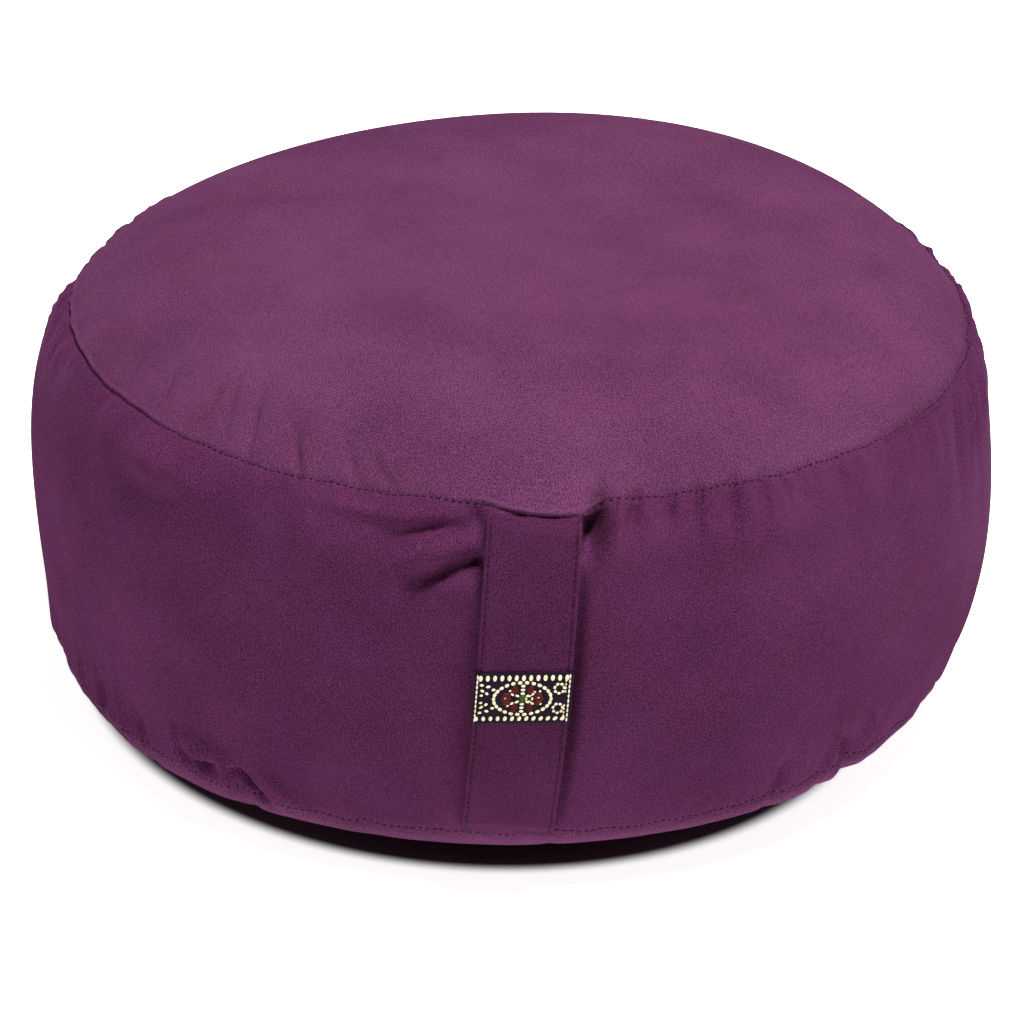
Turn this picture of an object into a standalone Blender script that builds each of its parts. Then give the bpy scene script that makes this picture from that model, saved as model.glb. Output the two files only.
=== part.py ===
"""A round meditation cushion: a filled body of two round panels and a side band, a carry handle and a ribbon.

Metres, +Z up. The cushion stands on z = 0 and its handle faces -Y.
A place on the body is an azimuth, counted from the handle's side towards +X, and a station: the distance
along the cloth from the top seam, negative on the top panel and positive down the band.
"""

import bisect
import math
from collections import namedtuple

import bmesh
import bpy
from mathutils import Vector
from mathutils.geometry import interpolate_bezier

# Driving dimensions
DIAMETER = 0.330
SEAM_RADIUS = 0.1514
SEAM_HEIGHT = 0.1364
CROWN_RISE = 0.0286
CROWN_FLATNESS = 5.5
FOOT_RADIUS = 0.1540
FOOT_HEIGHT = 0.0160
BAND_FULLNESS = 0.71
BAND_SKEW = 0.88
LOW_SEAM_FRACTION = 0.913
ROLL_FRACTION = 0.97
BASE_RADIUS = 0.100
UNDERSIDE_HANDLES = ((0.1490, 0.0115), (0.1250, 0.0018))

# The filling lies uneven, so neither the top nor the foot is level, and the top seam waves a little
SEAM_TILT_RIGHT = 0.0044
SEAM_TILT_FRONT = 0.0018
SEAM_SADDLE = 0.0013
SEAM_SADDLE_SLANT = -0.0009
SEAM_THIRD_WAVE = 0.0011
CROWN_TILT_RIGHT = 0.0029
CROWN_TILT_FRONT = 0.0020
FOOT_TILT_RIGHT = 0.0058
BAND_LEAN_LEFT = 0.0011

# Seams draw the cloth in: a rounded edge on one side of the stitches and a ditch at them
SEAM_EDGE = 0.0012
SEAM_EDGE_WIDTH = 0.0022
SEAM_DITCH = 0.0014
SEAM_DITCH_WIDTH = 0.0020

# Carry handle
STRAP_WIDTH = 0.0290
STRAP_THICKNESS = 0.0020
STRAP_AZIMUTH = math.radians(2.05)
STRAP_TOP_STATION = 0.0050
STRAP_LOW_MARGIN = 0.0015
STRAP_TOP_GAP = 0.0025
STRAP_LOW_GAP = 0.0015
STRAP_STAND_OFF = 0.0080
STRAP_FULLNESS = 1.3
STRAP_TWIST = math.radians(7)
STRAP_TWIST_LENGTH = 0.030

# The handle's pull on the top seam: an overhanging lip, furthest out at the handle's right edge
LIP_PULL_LEFT = 0.0030
LIP_PULL_RIGHT = 0.0070
LIP_DROP = 0.0018
LIP_DEPTH = 0.0060
LIP_UNDERSIDE = 0.0022
LIP_RETURN = math.radians(2.6)

# Ribbon across the handle
RIBBON_TOP_STATION = 0.0489
RIBBON_HEIGHT = 0.0158
RIBBON_SLANT = math.radians(3.3)
RIBBON_THICKNESS = 0.0007
RIBBON_TURN_IN = 0.0045
RIBBON_CORNER = 0.0004
FIT_GAP = 0.0003
MERGE_DISTANCE = 0.00001

# Mesh density: columns round the body, closer at the front, and rows along the profile, closer at the seams
COLUMNS = 128
FRONT_DENSITY = 0.35
CROWN_ROWS = 12
CROWN_CROWDING = 1.15
BAND_ROWS = 14
STRAP_CELLS = (6, 44)
RIBBON_ROWS = 8
UNDERSIDE_ROWS = 6
SEAM_MARGIN = 0.0085
SEAM_ROWS = (-0.0060, -0.0035, -0.0018, -0.0004, 0.0010, 0.0026, 0.0048)
LOW_SEAM_ROWS = (-0.0060, -0.0025, 0.0, 0.0025, 0.0065)
PROFILE_POINTS = 120
UNDERSIDE_POINTS = 40

# Folds die out before the flat base and the middle of the top
BASE_CALM = 0.020
CENTRE_CALM = 0.030
FOLD_REACH = 90

# Folds pressed into the body, one row each. Azimuth and slant are in degrees, lengths in millimetres.
# Slant turns the fold's long way from level, down to the right. A negative depth is a swelling.
Fold = namedtuple("Fold", "azimuth station length width slant depth")
FOLDS = (
    # Beside the handle's left edge
    Fold(-6.5, 23, 13, 3.6, -24, 3.2),
    Fold(-6, 10, 9, 2.8, 0, 1.4),
    Fold(-15, 15, 26, 6.0, 0, 2.0),
    Fold(-16, 6, 26, 4.0, 2, -1.2),
    Fold(-5, 30, 9, 3.0, -8, -0.8),
    # Gathers under the seam, right of the handle
    Fold(14.5, 5, 9, 3.2, 90, 0.9),
    Fold(18.5, 5, 9, 3.2, 90, 0.8),
    Fold(23.5, 5, 10, 3.6, 90, 0.8),
    # Pleats at both far sides
    Fold(66, 13, 18, 4.0, 97, 1.6),
    Fold(74, 15, 18, 4.0, 97, 1.6),
    Fold(-77, 7, 13, 4.0, 112, 1.4),
    Fold(-96, 8, 11, 4.0, 60, 1.4),
    # Gathers above the bottom seam, right
    Fold(34.5, 115, 13, 3.2, 90, 1.2),
    Fold(42.5, 113, 18, 4.0, 86, 2.0),
    Fold(47, 113, 16, 5.0, 80, 2.4),
    # Gathers above the bottom seam, left
    Fold(-36, 109, 13, 7.0, 20, -2.0),
    Fold(-31, 116, 12, 4.0, 70, 1.8),
    Fold(-25, 115, 12, 5.0, 10, -1.2),
    # Faint gathers on the top panel, front left
    Fold(-45, -9, 15, 4.0, 60, 0.9),
    Fold(-29, -9, 15, 4.0, -70, 0.9),
    Fold(-20, -13, 22, 5.0, -45, 0.8),
    Fold(-39, -16, 14, 4.0, 90, 0.7),
    # Slack cloth at the back
    Fold(122, 14, 20, 6.0, 84, 1.4),
    Fold(158, 12, 22, 6.0, 95, 1.2),
    Fold(-140, 14, 20, 6.0, 100, 1.3),
    Fold(-168, 108, 18, 6.0, 85, 1.2),
    Fold(135, 110, 18, 6.0, 95, 1.3),
    Fold(-115, 110, 18, 6.0, 88, 1.2),
    Fold(88, 112, 16, 5.0, 92, 1.4),
    Fold(-72, 112, 16, 5.0, 84, 1.3),
)

# Slow unevenness of the filling: waves around the body, each with its height along the band
Wave = namedtuple("Wave", "count phase height")
WAVES = (
    Wave(3, 40, 0.0008),
    Wave(5, 200, 0.0006),
    Wave(9, 75, 0.0004),
)

PLUM = (0.150, 0.040, 0.104, 1.0)
RIBBON_GROUND = (0.030, 0.018, 0.045, 1.0)

MM = 0.001
NORMAL_STEP = 0.002


def mix(start, end, share):
    return start + (end - start) * share


def smooth(share):
    share = min(max(share, 0.0), 1.0)
    return share * share * (3 - 2 * share)


def bell(distance, width):
    return math.exp(-((distance / width) ** 2))


# Profile of the body, as (radius, height)


def crown_point(share):
    """A point of the top panel, from its centre at 0 to the seam at 1."""
    return SEAM_RADIUS * share, SEAM_HEIGHT + CROWN_RISE * (1 - share**CROWN_FLATNESS)


def band_point(share):
    """A point of the side, from the top seam at 0 to the foot at 1."""
    swell = DIAMETER / 2 - (SEAM_RADIUS + FOOT_RADIUS) / 2
    skewed = share**BAND_SKEW
    fullness = (4 * skewed * (1 - skewed)) ** BAND_FULLNESS
    return (
        mix(SEAM_RADIUS, FOOT_RADIUS, share) + swell * fullness,
        mix(SEAM_HEIGHT, FOOT_HEIGHT, share),
    )


def underside_points(count):
    """The underside's roll, from the side down to the flat base."""
    knots = [Vector((*band_point(ROLL_FRACTION), 0))]
    knots += [Vector((*handle, 0)) for handle in UNDERSIDE_HANDLES]
    knots += [Vector((BASE_RADIUS, 0, 0))]
    return [(point.x, point.y) for point in interpolate_bezier(*knots, count)]


def measured(points):
    """The points with the distance along them in front."""
    length = 0.0
    rows = [(length, *points[0])]
    for before, after in zip(points, points[1:]):
        length += math.dist(before, after)
        rows.append((length, *after))
    return rows


def whole_profile():
    """(station, radius, height) from the centre of the top to the centre of the base."""
    shares = [i / PROFILE_POINTS for i in range(PROFILE_POINTS)]
    top = [crown_point(share) for share in shares]
    side = [band_point(ROLL_FRACTION * share) for share in shares]
    under = underside_points(UNDERSIDE_POINTS) + [(0.0, 0.0)]
    rows = measured(top + side + under)
    seam = rows[PROFILE_POINTS][0]
    return [(length - seam, radius, height) for length, radius, height in rows]


PROFILE = whole_profile()
STATIONS = [row[0] for row in PROFILE]
CROWN_STATION = STATIONS[0]
CENTRE_STATION = STATIONS[-1]
BASE_STATION = STATIONS[-2]


def band_station(share):
    """The station of a share of the way down the side."""
    height = band_point(share)[1]
    return next(row[0] for row in PROFILE if row[0] > 0 and row[2] <= height)


LOW_SEAM_STATION = band_station(LOW_SEAM_FRACTION)
STRAP_LOW_STATION = LOW_SEAM_STATION - STRAP_LOW_MARGIN


def profile_at(station):
    """(radius, height) of the profile at a station."""
    index = min(max(bisect.bisect_right(STATIONS, station), 1), len(PROFILE) - 1)
    before, after = PROFILE[index - 1], PROFILE[index]
    share = (station - before[0]) / (after[0] - before[0])
    return mix(before[1], after[1], share), mix(before[2], after[2], share)


def profile_normal(station):
    """The outward direction (radial, up) of the profile at a station."""
    low = profile_at(max(station - NORMAL_STEP, CROWN_STATION))
    high = profile_at(min(station + NORMAL_STEP, CENTRE_STATION))
    along = Vector((high[0] - low[0], high[1] - low[1])).normalized()
    return Vector((-along.y, along.x))


# Unevenness of the body


def angle_between(azimuth, other):
    return math.remainder(azimuth - other, math.tau)


def fold_height(azimuth, station):
    """How far the folds press the cloth in, in metres."""
    total = 0.0
    for fold in FOLDS:
        across = angle_between(azimuth, math.radians(fold.azimuth)) * DIAMETER / 2 / MM
        down = station / MM - fold.station
        if max(abs(across), abs(down)) > FOLD_REACH:
            continue
        slant = math.radians(fold.slant)
        along = across * math.cos(slant) + down * math.sin(slant)
        aside = down * math.cos(slant) - across * math.sin(slant)
        total += fold.depth * MM * bell(along, fold.length) * bell(aside, fold.width)
    return total


def seam_height(station):
    """The edge and the ditch that a seam makes, outward positive."""
    top = SEAM_EDGE * bell(station + SEAM_EDGE_WIDTH, SEAM_EDGE_WIDTH)
    top -= SEAM_DITCH * bell(station, SEAM_DITCH_WIDTH)
    low = SEAM_DITCH * bell(station - LOW_SEAM_STATION, SEAM_DITCH_WIDTH)
    return top - low


def band_share(station):
    """0 at both seams and off the band, 1 half way down it."""
    return math.sin(math.pi * min(max(station / LOW_SEAM_STATION, 0.0), 1.0))


def wave_height(azimuth, station):
    turns = (wave.height * math.sin(wave.count * azimuth + math.radians(wave.phase)) for wave in WAVES)
    return band_share(station) * sum(turns)


def lip_pull(azimuth, station):
    """(outward, down) of the seam's edge where the handle pulls on it."""
    half = STRAP_WIDTH / 2 / SEAM_RADIUS
    place = angle_between(azimuth, STRAP_AZIMUTH)
    rise = smooth((place + half + LIP_RETURN) / LIP_RETURN)
    fall = smooth((half + LIP_RETURN - place) / LIP_RETURN)
    across = mix(LIP_PULL_LEFT, LIP_PULL_RIGHT, smooth((place + half) / (2 * half)))
    if station < 0:
        depth = bell(station, LIP_DEPTH)
    else:
        depth = 1 - smooth(station / LIP_UNDERSIDE)
    pull = across * rise * fall * depth
    return pull, pull / LIP_PULL_RIGHT * LIP_DROP


def seam_rise(azimuth):
    """Height of the top seam over its mean."""
    tilt = SEAM_TILT_RIGHT * math.sin(azimuth) + SEAM_TILT_FRONT * math.cos(azimuth)
    saddle = SEAM_SADDLE * math.cos(2 * azimuth) + SEAM_SADDLE_SLANT * math.sin(2 * azimuth)
    return tilt + saddle + SEAM_THIRD_WAVE * math.sin(3 * azimuth)


def crown_tilt(azimuth):
    return CROWN_TILT_RIGHT * math.sin(azimuth) + CROWN_TILT_FRONT * math.cos(azimuth)


def filling_rise(azimuth, radius, height, station):
    """How much the uneven filling lifts a point."""
    out = min(max(radius / SEAM_RADIUS, 0.0), 1.0)
    down = min(max((SEAM_HEIGHT - height) / (SEAM_HEIGHT - FOOT_HEIGHT), 0.0), 1.0)
    rise = (1 - down) * out * seam_rise(azimuth)
    if station < 0:
        return rise + (1 - out**CROWN_FLATNESS) * out * crown_tilt(azimuth)
    settled_share = smooth((BASE_STATION - station) / (BASE_STATION - LOW_SEAM_STATION))
    return rise + down**2 * settled_share * FOOT_TILT_RIGHT * math.sin(azimuth)


def outward(azimuth):
    return Vector((math.sin(azimuth), -math.cos(azimuth), 0))


def body_point(azimuth, station):
    """The surface of the filled body."""
    radius, height = profile_at(station)
    if station >= BASE_STATION:
        return outward(azimuth) * radius
    normal = profile_normal(station)
    bump = seam_height(station) + wave_height(azimuth, station) - fold_height(azimuth, station)
    bump *= smooth((BASE_STATION - station) / BASE_CALM)
    bump *= smooth((station - CROWN_STATION) / CENTRE_CALM)
    pull, drop = lip_pull(azimuth, station)
    lean = BAND_LEAN_LEFT * math.sin(azimuth) * band_share(station)
    point = outward(azimuth) * (radius + normal.x * bump + pull - lean)
    point.z = height + normal.y * bump - drop + filling_rise(azimuth, radius, height, station)
    return point


def row_stations():
    """The rings of the body's mesh, close together at the seams."""
    crown = [CROWN_STATION * (1 - i / CROWN_ROWS) ** CROWN_CROWDING for i in range(CROWN_ROWS)]
    top = [station for station in crown if station < -SEAM_MARGIN] + list(SEAM_ROWS)
    low_edge = [LOW_SEAM_STATION + offset for offset in LOW_SEAM_ROWS]
    band = [mix(SEAM_MARGIN, low_edge[0], i / BAND_ROWS) for i in range(BAND_ROWS)]
    under = [mix(low_edge[-1], BASE_STATION, i / UNDERSIDE_ROWS) for i in range(1, UNDERSIDE_ROWS + 1)]
    return top + band + low_edge + under + [CENTRE_STATION]


# Objects


def clear_scene():
    for obj in list(bpy.data.objects):
        bpy.data.objects.remove(obj, do_unlink=True)


def cloth(name, colour, roughness):
    material = bpy.data.materials.new(name)
    material.use_nodes = True
    shader = material.node_tree.nodes["Principled BSDF"]
    shader.inputs["Base Color"].default_value = colour
    shader.inputs["Roughness"].default_value = roughness
    shader.inputs["Metallic"].default_value = 0.0
    material.diffuse_color = colour
    return material


def add_object(name, mesh, material, collection):
    obj = bpy.data.objects.new(name, mesh)
    obj.data.materials.append(material)
    collection.objects.link(obj)
    return obj


def settled(obj):
    """The object with its modifiers made part of its mesh."""
    graph = bpy.context.evaluated_depsgraph_get()
    mesh = bpy.data.meshes.new_from_object(obj.evaluated_get(graph))
    obj.modifiers.clear()
    obj.data = mesh
    mesh.shade_smooth()
    return obj


def front_dense(azimuth):
    """Moves columns towards the front, where the folds are."""
    return azimuth - FRONT_DENSITY * math.sin(azimuth)


def make_body(material, collection):
    """A turned profile, then every ring set to the uneven surface."""
    stations = row_stations()
    mesh = bpy.data.meshes.new("cushion")
    points = []
    for station in stations:
        radius, height = profile_at(station)
        points.append((radius, 0, height))
    mesh.from_pydata(points, [(i, i + 1) for i in range(len(points) - 1)], [])
    kept = mesh.attributes.new("station", "FLOAT", "POINT")
    kept.data.foreach_set("value", stations)
    body = add_object("cushion", mesh, material, collection)
    turn = body.modifiers.new("turn", "SCREW")
    turn.steps = COLUMNS
    turn.render_steps = COLUMNS
    turn.use_merge_vertices = True
    turn.merge_threshold = MERGE_DISTANCE
    settled(body)
    rows = body.data.attributes["station"].data
    for vertex, row in zip(body.data.vertices, rows):
        azimuth = front_dense(math.atan2(vertex.co.x, -vertex.co.y))
        vertex.co = body_point(azimuth, row.value)
    return body


def strap_frame(station):
    """The handle's middle, its way across and its outward direction at a station."""
    share = (station - STRAP_TOP_STATION) / (STRAP_LOW_STATION - STRAP_TOP_STATION)
    share = min(max(share, 0.0), 1.0)
    radius, height = profile_at(station)
    normal = profile_normal(station)
    gap = mix(STRAP_TOP_GAP, STRAP_LOW_GAP, share)
    gap += STRAP_STAND_OFF * math.sin(math.pi * share) ** STRAP_FULLNESS
    away = outward(STRAP_AZIMUTH)
    rise = filling_rise(STRAP_AZIMUTH, radius, height, station)
    middle = away * (radius + normal.x * gap) + Vector((0, 0, height + normal.y * gap + rise))
    side = outward(STRAP_AZIMUTH + math.pi / 2)
    facing = (away * normal.x + Vector((0, 0, normal.y))).normalized()
    twist = STRAP_TWIST * (1 - smooth((station - STRAP_TOP_STATION) / STRAP_TWIST_LENGTH))
    across = side * math.cos(twist) + facing * math.sin(twist)
    facing = facing * math.cos(twist) - side * math.sin(twist)
    return middle, across, facing


def make_sheet(name, point_at, counts, thickness, material, collection):
    """An open surface given by point_at(across, along), each from 0 to 1, made solid to both sides."""
    mesh = bpy.data.meshes.new(name)
    grid = bmesh.new()
    bmesh.ops.create_grid(grid, x_segments=counts[0], y_segments=counts[1], size=0.5)
    for vertex in grid.verts:
        vertex.co = point_at(vertex.co.x + 0.5, vertex.co.y + 0.5)
    grid.to_mesh(mesh)
    grid.free()
    sheet = add_object(name, mesh, material, collection)
    shell = sheet.modifiers.new("thickness", "SOLIDIFY")
    shell.thickness = thickness
    shell.offset = 0
    shell.use_even_offset = True
    return settled(sheet)


def make_strap(material, collection):
    def point_at(across, along):
        middle, side, _ = strap_frame(mix(STRAP_LOW_STATION, STRAP_TOP_STATION, along))
        return middle + side * STRAP_WIDTH * (across - 0.5)

    return make_sheet("handle_strap", point_at, STRAP_CELLS, STRAP_THICKNESS, material, collection)


def ribbon_section():
    """The ribbon's middle line round the handle, as (across, outward) points."""
    lift = STRAP_THICKNESS / 2 + FIT_GAP + RIBBON_THICKNESS / 2
    edge = STRAP_WIDTH / 2 + FIT_GAP + RIBBON_THICKNESS / 2
    turned = edge - RIBBON_CORNER
    front = [(edge * share, lift) for share in (0.0, 0.3, 0.6, 0.85)]
    front_corner = [(turned, lift), (edge, lift - RIBBON_CORNER)]
    back_corner = [(edge, RIBBON_CORNER - lift), (turned, -lift)]
    half = front + front_corner + back_corner + [(edge - RIBBON_TURN_IN, -lift)]
    mirrored = [(-across, out) for across, out in reversed(half[1:])]
    return mirrored + half


def make_ribbon(material, collection):
    section = ribbon_section()
    bottom = RIBBON_TOP_STATION + RIBBON_HEIGHT

    def point_at(across, along):
        aside, out = section[round(across * (len(section) - 1))]
        climb = aside * math.tan(RIBBON_SLANT)
        middle, side, facing = strap_frame(mix(bottom, RIBBON_TOP_STATION, along) - climb)
        return middle + side * aside + facing * out

    counts = (len(section) - 1, RIBBON_ROWS)
    return make_sheet("ribbon", point_at, counts, RIBBON_THICKNESS, material, collection)


def centre_on_base(objects):
    """Moves the objects so that the middle of their outline lies over the origin."""
    corners = [vertex.co for obj in objects for vertex in obj.data.vertices]
    middle = Vector((0, 0, 0))
    for axis in (0, 1):
        places = [corner[axis] for corner in corners]
        middle[axis] = (min(places) + max(places)) / 2
    for obj in objects:
        obj.location = -middle


def main():
    clear_scene()
    collection = bpy.data.collections.new("meditation cushion")
    bpy.context.scene.collection.children.link(collection)
    plum = cloth("plum cotton", PLUM, 0.85)
    woven = cloth("woven ribbon", RIBBON_GROUND, 0.7)
    body = make_body(plum, collection)
    strap = make_strap(plum, collection)
    ribbon = make_ribbon(woven, collection)
    centre_on_base((body, strap, ribbon))


main()
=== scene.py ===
from collections import namedtuple
from math import atan2, cos, degrees, pi, radians, sin, sqrt, tan, tau

import bmesh
import bpy
import numpy as np
from mathutils import Matrix, Vector
from mathutils.geometry import interpolate_bezier


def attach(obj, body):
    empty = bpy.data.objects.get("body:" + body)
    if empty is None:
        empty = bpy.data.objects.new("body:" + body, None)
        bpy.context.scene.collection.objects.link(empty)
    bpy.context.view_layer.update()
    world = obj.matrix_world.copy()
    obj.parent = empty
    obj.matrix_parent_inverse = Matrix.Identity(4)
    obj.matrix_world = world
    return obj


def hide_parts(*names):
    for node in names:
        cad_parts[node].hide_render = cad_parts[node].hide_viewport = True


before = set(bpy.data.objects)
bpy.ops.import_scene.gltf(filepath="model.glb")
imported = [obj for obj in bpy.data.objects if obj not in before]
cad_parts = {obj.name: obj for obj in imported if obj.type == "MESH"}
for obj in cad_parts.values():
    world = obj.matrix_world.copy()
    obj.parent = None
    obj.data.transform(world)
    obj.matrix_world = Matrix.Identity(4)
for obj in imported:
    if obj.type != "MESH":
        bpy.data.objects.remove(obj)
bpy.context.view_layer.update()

scene = bpy.context.scene

MM = 0.001
BODY = "root"

# Camera, at the photograph's angle
IMAGE_SIDE = 1024
SENSOR = 36.0
FOCAL_PIXELS = 3742.85
CAMERA_PLACE = Vector((0.0002, -1.1441, 0.673))
CAMERA_PITCH = 0.4932
CAMERA_YAW = 0.0027
CAMERA_ROLL = 0.0545

# Profile of the body, repeated from the solid
DIAMETER = 0.330
SEAM_RADIUS = 0.1514
SEAM_HEIGHT = 0.1364
CROWN_RISE = 0.0286
CROWN_FLATNESS = 5.5
FOOT_RADIUS = 0.1540
FOOT_HEIGHT = 0.0160
BAND_FULLNESS = 0.71
BAND_SKEW = 0.88
LOW_SEAM_FRACTION = 0.937
ROLL_FRACTION = 0.97
BASE_RADIUS = 0.100
UNDERSIDE_HANDLES = ((0.1490, 0.0115), (0.1250, 0.0018))
PROFILE_POINTS = 600
UNDERSIDE_POINTS = 200
BODY_SHIFT = Vector((0.002125, 0.0065365, 0.0))

# Unevenness of the filling, repeated from the solid
SEAM_TILT_RIGHT = 0.0044
SEAM_TILT_FRONT = 0.0018
SEAM_SADDLE = 0.0013
SEAM_SADDLE_SLANT = -0.0009
SEAM_THIRD_WAVE = 0.0011
CROWN_TILT_RIGHT = 0.0029
CROWN_TILT_FRONT = 0.0020
FOOT_TILT_RIGHT = 0.0058
BAND_SWAY = 0.0070
BAND_SWAY_START = 0.35
BASE_CALM = 0.020
CENTRE_CALM = 0.030

# Seams: a rounded edge, a shallow ditch and a sharp crease where the stitches pull the cloth in
SEAM_EDGE = 0.0014
SEAM_EDGE_WIDTH = 0.0008
SEAM_DITCH = 0.0004
SEAM_DITCH_WIDTH = 0.0017
SEAM_CREASE = 0.0003
SEAM_CREASE_WIDTH = 0.0005
STITCH_PITCH = 0.0023
STITCH_LENGTH = 0.0013
STITCH_THICKNESS = 0.00062
STITCH_WANDER = 0.00025
# Angle beside the handle, in radians, that has no stitches in the top seam
STRAP_STITCH_GAP = 0.004

# Handle, repeated from the solid
STRAP_WIDTH = 0.0290
STRAP_THICKNESS = 0.0020
STRAP_AZIMUTH = radians(2.5)
STRAP_TOP_STATION = 0.0050
STRAP_LOW_MARGIN = 0.0015
STRAP_TOP_GAP = 0.0040
STRAP_LOW_GAP = 0.0015
STRAP_STAND_OFF = 0.0062
STRAP_FULLNESS = 1.3
STRAP_TWIST = radians(7)
STRAP_LOW_TWIST = radians(1.5)
STRAP_TWIST_LENGTH = 0.030
STRAP_UNDER_LIP = 0.40
STRAP_UNDER_LIP_LENGTH = 0.013
STRAP_LIP_STATION = 0.002
STRAP_SEWN_STATION = 0.0002
STRAP_SEWN_LENGTH = 0.0080
STRAP_SEWN_GAP = -0.0012
STRAP_SLIDE = 0.00095
STRAP_LEAN = 0.029
LIP_PULL_LEFT = 0.0011
LIP_PULL_RIGHT = 0.0056
LIP_DROP = 0.0028
LIP_DEPTH = 0.0060
LIP_UNDERSIDE = 0.0022
LIP_START = radians(7)
LIP_RETURN = radians(2.6)

# Ribbon, repeated from the solid
RIBBON_TOP_STATION = 0.0489
RIBBON_HEIGHT = 0.0164
RIBBON_SLANT = radians(3.3)
RIBBON_THICKNESS = 0.0004
RIBBON_TURN_IN = 0.0045
RIBBON_CORNER = 0.0004
RIBBON_GAP = 0.0001

# Mesh density of the cover
COLUMNS = 610
FRONT_DENSITY = 0.42

# Folds pressed into the cover, one row each. Azimuth and slant are in degrees, lengths in mm.
# Slant turns the fold's long way from level, down to the right. A negative depth is a swelling.
Fold = namedtuple("Fold", "azimuth station length width slant depth")


def fold_rows(*rows):
    return [Fold(*row) for row in rows]


FOLDS = fold_rows(
    # Beside the handle's left edge
    (-6.5, 23, 13, 3.6, -24, 3.2),
    (-6, 10, 9, 2.8, 0, 1.4),
    (-15, 15, 26, 6, 0, 2),
    (-16, 6, 26, 4, 2, -1.2),
    (-5, 30, 9, 3, -8, -0.8),
    # Gathers under the seam, right of the handle
    (14.5, 5, 9, 3.2, 90, 0.9),
    (18.5, 5, 9, 3.2, 90, 0.8),
    (23.5, 5, 10, 3.6, 90, 0.8),
    # Pleats at both far sides
    (66, 13, 18, 4, 97, 1.6),
    (74, 15, 18, 4, 97, 1.6),
    (-77, 7, 13, 4, 112, 1.4),
    (-96, 8, 11, 4, 60, 1.4),
    # Gathers above the bottom seam, right
    (34.5, 115, 13, 3.2, 90, 1.2),
    (42.5, 113, 18, 4, 86, 2),
    (47, 113, 16, 5, 80, 2.4),
    # Gathers above the bottom seam, left
    (-36, 109, 13, 7, 20, -2),
    (-31, 116, 12, 4, 70, 1.8),
    (-25, 115, 12, 5, 10, -1.2),
    # Faint gathers on the top panel, front left
    (-45, -9, 15, 4, 60, 0.9),
    (-29, -9, 15, 4, -70, 0.9),
    (-20, -13, 22, 5, -45, 0.8),
    (-39, -16, 14, 4, 90, 0.7),
    # Slack cloth at the back
    (122, 14, 20, 6, 84, 1.4),
    (158, 12, 22, 6, 95, 1.2),
    (-140, 14, 20, 6, 100, 1.3),
    (-168, 108, 18, 6, 85, 1.2),
    (135, 110, 18, 6, 95, 1.3),
    (-115, 110, 18, 6, 88, 1.2),
    (88, 112, 16, 5, 92, 1.4),
    (-72, 112, 16, 5, 84, 1.3),
)
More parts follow.
